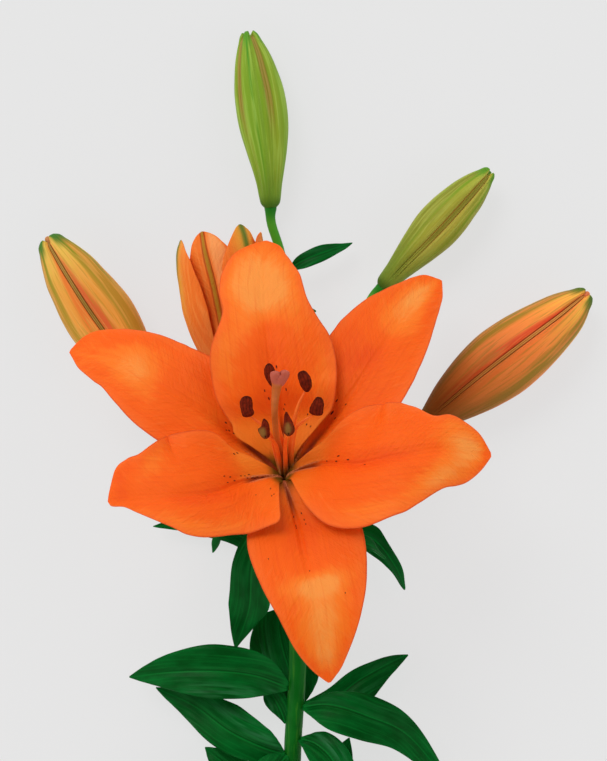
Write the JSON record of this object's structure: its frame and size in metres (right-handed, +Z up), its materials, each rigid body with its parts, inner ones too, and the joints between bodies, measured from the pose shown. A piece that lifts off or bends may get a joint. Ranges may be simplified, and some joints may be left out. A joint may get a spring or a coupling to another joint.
{
  "type": "orange hybrid lily stem",
  "caption": "Cut stem of an orange hybrid lily lying on its back, with an open bloom, a half-open bloom, closed buds and dark green leaves.",
  "frame": {"origin": "middle of the footprint, on the surface that the stem lies on", "axes": "+Y runs along the stem from the cut end to the flowers, +X to the right seen from above, +Z up from the surface"},
  "size_m": [0.2324, 0.4809, 0.11],
  "materials": {
    "stem": "satin plant skin",
    "petal": "soft velvety petal",
    "sepal": "soft velvety petal",
    "pistil": "satin",
    "filament": "satin",
    "anther": "matt, powdery",
    "bud_green": "satin",
    "bud_yellow": "satin",
    "bud_orange": "satin",
    "leaf": "glossy"
  },
  "bodies": {
    "root": {"stem": "stem", "bloom_petal_top": "petal", "bloom_petal_left": "petal", "bloom_petal_right": "petal", "bloom_sepal_left": "sepal", "bloom_sepal_right": "sepal", "bloom_sepal_bottom": "sepal", "pistil": "pistil", "filament_top": "filament", "anther_top": "anther", "filament_upper_right": "filament", "anther_upper_right": "anther", "filament_lower_right": "filament", "anther_lower_right": "anther", "filament_bottom": "filament", "anther_bottom": "anther", "filament_lower_left": "filament", "anther_lower_left": "anther", "filament_upper_left": "filament", "anther_upper_left": "anther", "opening_sepal_upper": "sepal", "opening_sepal_right": "sepal", "opening_sepal_lower": "sepal", "opening_petal_left": "petal", "opening_petal_upper": "petal", "opening_petal_lower": "petal", "opening_stamens": "filament", "bud_top": "bud_green", "bud_upper_right": "bud_yellow", "bud_right": "bud_orange", "bud_left": "bud_orange", "leaf_left_large": "leaf", "leaf_left_lower": "leaf", "leaf_left_bottom": "leaf", "leaf_right_large": "leaf", "leaf_right_back": "leaf", "leaf_right_shiny": "leaf", "leaf_right_under": "leaf", "leaf_left_under": "leaf", "leaf_hanging": "leaf", "leaf_behind": "leaf", "leaf_short": "leaf", "leaf_crown_left": "leaf", "leaf_crown_left_small": "leaf", "leaf_crown_right": "leaf", "leaf_crown_right_small": "leaf", "bract_upper": "leaf", "bract_lower": "leaf", "leaf_low_1": "leaf", "leaf_low_2": "leaf", "leaf_low_3": "leaf", "leaf_low_4": "leaf", "leaf_low_5": "leaf", "leaf_low_6": "leaf", "leaf_low_7": "leaf", "leaf_low_8": "leaf"}
  },
  "joints": []
}
